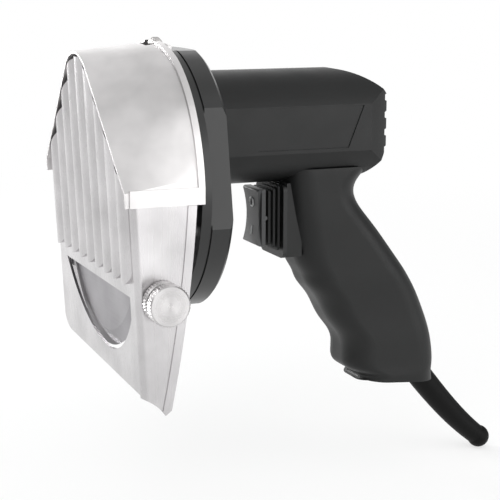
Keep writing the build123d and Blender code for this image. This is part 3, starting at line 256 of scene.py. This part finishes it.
# Node: material, colour, roughness, grain in mm, grain depth, specular level, metallic.
GRAINED = {
    "gear_case": ("satin_black_cast_case", "#0A0B0B", 0.32, 0.6, 0.15, 0.62),
    "gear_cover": ("cast_aluminium_cover", "#A8A9AB", 0.45, 0.8, 0.3, 0.5, 1.0),
    "left_shell": ("textured_black_abs_left", "#0B0C0C", 0.46, 0.5, 0.3, 0.36),
    "right_shell": ("textured_black_abs_right", "#0B0C0C", 0.46, 0.5, 0.3, 0.36),
    "switch_rocker": ("moulded_black_rocker", "#303132", 0.42, 0.6, 0.12),
    "switch_boot": ("moulded_rubber_collar", "#121313", 0.6, 0.6, 0.2, 0.35),
    "switch_bezel": ("moulded_black_bezel", "#151616", 0.45, 0.6, 0.15, 0.4),
    "switch_body": ("moulded_nylon_body", "#232324", 0.5, 0.6, 0.15),
    "cord_sleeve": ("moulded_rubber_sleeve", "#060606", 0.55, 0.5, 0.2, 0.15),
    "cord_clamp": ("moulded_nylon_clamp", "#2A2A2B", 0.5, 0.6, 0.15),
    "drive_gear": ("moulded_nylon_gear", "#D9D4C2", 0.4, 0.6, 0.1),
    "fan": ("moulded_nylon_fan", "#26272A", 0.45, 0.6, 0.1),
    "rotor": ("steel_laminations_rotor", "#6B6C6E", 0.4, 0.5, 0.3, 0.5, 1.0),
    "stator": ("steel_laminations_stator", "#626366", 0.45, 0.5, 0.3, 0.5, 1.0),
    "commutator": ("copper_bars", "#B87A4B", 0.3, 0.8, 0.1, 0.5, 1.0),
    "field_coils": ("varnished_copper_wire", "#8A4A24", 0.3, 0.5, 0.5, 0.5, 1.0),
    "carbon_brushes": ("carbon", "#232324", 0.6, 0.4, 0.2),
    "brush_holders": ("pressed_brass", "#B99A5A", 0.3, 0.8, 0.1, 0.5, 1.0),
}
finishes = {node: brushed_steel(*row) for node, row in BRUSHED.items()}
finishes.update({node: turned_steel(row[0], node, *row[1:]) for node, row in TURNED.items()})
finishes.update({node: grained(*row) for node, row in GRAINED.items()})
small_steel = brushed_steel("machined_steel_small_parts", 0, "#B4B3B4", 0.3, 0.08, 0.3, 10.0)
for name, node in nodes.items():
    node.data.materials.clear()
    node.data.materials.append(finishes.get(name, small_steel))
print("finished", len(finishes), "named materials on", len(nodes), "nodes")

# %% [markdown]
# The switch carries the usual marks: a ring for off above and a bar for on below. They are
# pale paint in the rocker's dished front, so each is a thin raised shape worked out on a
# grid: the ring is a circle carried round a circle, and the bar is a long rounded pad.

# %% Switch marks
DISH = 1.4 * MM
MARK_LIFT = 0.35 * MM
MARK_SHARE = 0.5
MARK_TUBE = 0.42 * MM
RING_RADIUS = 2.1 * MM
BAR_HALF = 2.3 * MM
TUBE_SIDES, RING_STEPS, BAR_STEPS = 12, 40, 24
BAR_SQUARENESS = 8

rocker_low, rocker_high = (np.array(corner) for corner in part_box("switch_rocker"))
rocker_mid_z = (rocker_low[2] + rocker_high[2]) / 2
rocker_half_z = (rocker_high[2] - rocker_low[2]) / 2


def grid_mesh(name, points, closed_u):
    """Joins a grid of points of shape (rows, columns, 3) into quads. Each row is closed on
    itself, and with closed_u the last row is joined to the first."""
    rows, columns = points.shape[:2]
    index = np.arange(rows * columns).reshape(rows, columns)
    u0 = index if closed_u else index[:-1]
    u1 = np.roll(index, -1, 0) if closed_u else index[1:]
    quads = np.stack([u0, u1, np.roll(u1, -1, 1), np.roll(u0, -1, 1)], -1)
    mesh = bpy.data.meshes.new(name)
    mesh.from_pydata(points.reshape(-1, 3).tolist(), [], quads.reshape(-1, 4).tolist())
    mesh.shade_smooth()
    mesh.validate()
    piece = bpy.data.objects.new(name, mesh)
    bpy.context.scene.collection.objects.link(piece)
    return piece


def rocker_front(z):
    """Where the marks lie on the dished front: with s from -1 to 1 up the rocker,
    x = front + dish * (1 - s squared) - lift."""
    share = (z - rocker_mid_z) / rocker_half_z
    return rocker_low[0] + DISH * (1 - share ** 2) - MARK_LIFT


def tube_angles():
    """Angles round a mark's small circle, as one row."""
    return np.linspace(0, 2 * math.pi, TUBE_SIDES, endpoint=False)[None, :]


def ring_mark(name, z):
    """A torus: at turn a and small angle b, y = (R + r cos b) cos a, z = (R + r cos b) sin a,
    and it stands r sin b in front of the rocker."""
    turn = np.linspace(0, 2 * math.pi, RING_STEPS, endpoint=False)[:, None]
    small = tube_angles()
    reach = RING_RADIUS + MARK_TUBE * np.cos(small)
    height = z + reach * np.sin(turn)
    x = rocker_front(height) - MARK_TUBE * np.sin(small)
    return grid_mesh(name, np.stack([x, reach * np.cos(turn), height], -1), True)


def bar_mark(name, z):
    """An upright bar: circles along t from -1 to 1, of radius r * sqrt(1 - t to the power 8),
    so that they shrink to a point at both ends."""
    along = np.linspace(-1, 1, BAR_STEPS)[:, None]
    small = tube_angles()
    size = MARK_TUBE * np.sqrt(np.clip(1 - along ** BAR_SQUARENESS, 0, 1))
    y = size * np.cos(small)
    height = np.broadcast_to(z + BAR_HALF * along, y.shape)
    x = rocker_front(height) - size * np.sin(small)
    return grid_mesh(name, np.stack([x, y, height], -1), False)


mark_paint = grained("pale_marking_paint", "#B9BABA", 0.5, 0.6, 0.05)
marks = [
    ring_mark("mark_off", rocker_mid_z + MARK_SHARE * rocker_half_z),
    bar_mark("mark_on", rocker_mid_z - MARK_SHARE * rocker_half_z),
]
for mark in marks:
    mark.data.materials.append(mark_paint)
    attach(mark, "rocker")

# %% [markdown]
# The floor is a wide sheet of pale studio paper. To the camera it is partly its own light, so
# that it reads as a white background, while the rest of it still takes the tool's soft shadow.
# The share of glow grows with the distance r from the tool, share = near + (1 - near) * t,
# where t runs from 0 at 0.3 m to 1 at 1.1 m, so the paper meets the white world unseen.

# %% Floor
FLOOR_HALF_M = 60.0
FLOOR_DROP = 0.2 * MM
GLOW_NEAR = 0.62
FADE_FROM_M, FADE_TO_M = 0.3, 1.1
SMOOTH = {"interpolation_type": "SMOOTHSTEP"}
WHITE = linear("#FFFFFF")


def either(tree, first, second):
    """1 where either of two ray tests says yes."""
    return add(tree, "ShaderNodeMath", {"operation": "MAXIMUM"}, i0=first, i1=second).outputs[0]


floor_z = cad_box[0][2] - FLOOR_DROP
corners = [(x * FLOOR_HALF_M, y * FLOOR_HALF_M, floor_z) for x, y in ((-1, -1), (1, -1), (1, 1), (-1, 1))]
floor_mesh = bpy.data.meshes.new("studio_floor")
floor_mesh.from_pydata(corners, [], [(0, 1, 2, 3)])
floor = bpy.data.objects.new("studio_floor", floor_mesh)
bpy.context.scene.collection.objects.link(floor)

material, tree = new_material("pale_studio_paper")
paper = add(tree, "ShaderNodeBsdfDiffuse", Color=linear("#F4F4F3"))
glow = add(tree, "ShaderNodeEmission", Color=WHITE, Strength=1.0)
rays = add(tree, "ShaderNodeLightPath").outputs
seen = either(tree, rays["Is Camera Ray"], rays["Is Glossy Ray"])
spot = add(tree, "ShaderNodeNewGeometry").outputs["Position"]
reach = add(tree, "ShaderNodeVectorMath", {"operation": "LENGTH"}, i0=spot).outputs["Value"]
fade = ranged(tree, reach, GLOW_NEAR, 1.0, SMOOTH, FADE_FROM_M, FADE_TO_M)
share = add(tree, "ShaderNodeMath", {"operation": "MULTIPLY"}, i0=seen, i1=fade).outputs[0]
floor_mesh.materials.append(finish_material(material, tree, add(
    tree, "ShaderNodeMixShader", i0=share, i1=paper.outputs[0], i2=glow.outputs[0]
)))

# %% [markdown]
# The world has three faces. The camera, and light through clear parts, see it white. Soft
# light from it is dim, so that the lamps shape the tool. Steel sees a room that is darker on
# the camera's side and brighter behind the tool, which gives the pressed ribs their contrast:
# the strength goes from near to far as the Y of the direction runs from -0.1 to 0.9.

# %% World
WORLD_FOR_LIGHT = 0.42
GLOSS_NEAR, GLOSS_FAR = 0.26, 0.54
ROOM_Y_NEAR, ROOM_Y_FAR = -0.1, 0.9

world = bpy.data.worlds.new("studio_world")
bpy.context.scene.world = world
world.use_nodes = True
tree = world.node_tree
tree.nodes.clear()
rays = add(tree, "ShaderNodeLightPath").outputs
toward = add(tree, "ShaderNodeTexCoord").outputs["Generated"]
toward_y = add(tree, "ShaderNodeSeparateXYZ", Vector=toward).outputs["Y"]
room = ranged(tree, toward_y, GLOSS_NEAR, GLOSS_FAR, SMOOTH, ROOM_Y_NEAR, ROOM_Y_FAR)
dim = add(tree, "ShaderNodeBackground", Color=linear("#F2F4F6"), Strength=WORLD_FOR_LIGHT)
soft = add(tree, "ShaderNodeBackground", Color=linear("#F6F6F6"), Strength=room)
white = add(tree, "ShaderNodeBackground", Color=WHITE, Strength=1.0)
lit = add(tree, "ShaderNodeMixShader", i0=rays["Is Glossy Ray"], i1=dim.outputs[0], i2=soft.outputs[0])
seen = either(tree, rays["Is Camera Ray"], rays["Is Transmission Ray"])
both = add(tree, "ShaderNodeMixShader", i0=seen, i1=lit.outputs[0], i2=white.outputs[0])
tree.links.new(both.outputs[0], add(tree, "ShaderNodeOutputWorld").inputs["Surface"])

# %% [markdown]
# The camera was solved from the photograph: a long lens, a little above the tool and well
# round to its left front. Its place and angles are kept as named numbers.

# %% Camera
AZIMUTH = math.radians(-22.44)
ELEVATION = math.radians(11.10)
ROLL = math.radians(0.16)
CAMERA_PLACE = (-225.5 * MM, -661.1 * MM, 119.6 * MM)
CLIP_START = 10 * MM
FOCAL_PX = 1500.0
IMAGE_PX = 500.0
SENSOR_MM = 36.0


def camera_axes(azimuth, elevation, roll):
    """Right, up and back of a camera that looks down -back, turned about back by the roll."""
    level = math.cos(elevation)
    back = np.array([math.sin(azimuth) * level, -math.cos(azimuth) * level, math.sin(elevation)])
    right = np.array([math.cos(azimuth), math.sin(azimuth), 0.0])
    up = np.cross(back, right)
    turned = right * math.cos(roll) + up * math.sin(roll)
    return turned, np.cross(back, turned), back


def placed(axes, place_m):
    """The matrix that puts an object at a place, with its X, Y and Z along three axes."""
    rows = [[axis[i] for axis in axes] + [place_m[i]] for i in range(3)]
    return Matrix(rows + [[0, 0, 0, 1]])


lens = bpy.data.cameras.new("studio_camera")
lens.sensor_width = SENSOR_MM
lens.lens = SENSOR_MM * FOCAL_PX / IMAGE_PX
lens.clip_start = CLIP_START
camera = bpy.data.objects.new("studio_camera", lens)
bpy.context.scene.collection.objects.link(camera)
camera.matrix_world = placed(camera_axes(AZIMUTH, ELEVATION, ROLL), CAMERA_PLACE)
bpy.context.scene.camera = camera

# %% [markdown]
# Steel shows its lamps more than its colour, so the lamps are large and soft. A key stands
# over the camera's left shoulder and a wide fill to its right. A card lights the flat side
# walls, and a softbox the round of the hood. A narrow strip behind draws a bright line down
# each rib. One lamp above and one behind lift the edges from the background.

# %% Lamps
MIDDLE = (0.05, 0.0, 0.0)
HEAD = (-0.02, 0.0, 0.02)
# Name, place and target in metres, width and height in metres, watts.
LAMPS = [
    ("key_softbox", (-0.75, -0.85, 0.75), MIDDLE, (0.9, 0.9), 5.0),
    ("fill_softbox", (0.95, -0.75, 0.35), MIDDLE, (0.9, 1.1), 4.5),
    ("wall_card", (0.34, -1.0, 0.1), (-0.02, -0.06, -0.04), (1.0, 0.9), 4.5),
    ("rib_strip", (-0.5, 0.95, 0.35), (-0.04, 0.0, 0.02), (0.16, 0.7), 7.0),
    ("hood_softbox", (0.25, -0.75, 0.85), HEAD, (1.4, 1.0), 3.0),
    ("top_strip", (0.1, 0.15, 1.0), MIDDLE, (1.5, 0.9), 2.2),
    ("back_softbox", (0.3, 1.0, 0.5), MIDDLE, (1.2, 0.8), 3.0),
]


def lamp(name, place_m, target_m, size_m, watts):
    """A rectangular area lamp at a place, turned to face the target and hidden from the camera."""
    data = bpy.data.lights.new(name, "AREA")
    data.shape = "RECTANGLE"
    data.size, data.size_y = size_m
    data.energy = watts
    piece = bpy.data.objects.new(name, data)
    bpy.context.scene.collection.objects.link(piece)
    away = np.array(place_m) - np.array(target_m)
    z_axis = away / np.linalg.norm(away)
    x_axis = np.cross((0, 0, 1), z_axis)
    x_axis = x_axis / np.linalg.norm(x_axis)
    piece.matrix_world = placed((x_axis, np.cross(z_axis, x_axis), z_axis), place_m)
    piece.visible_camera = False


for row in LAMPS:
    lamp(*row)

# %% [markdown]
# Standard view keeps the colours as written.

# %% Finish
bpy.context.scene.view_settings.view_transform = "Standard"
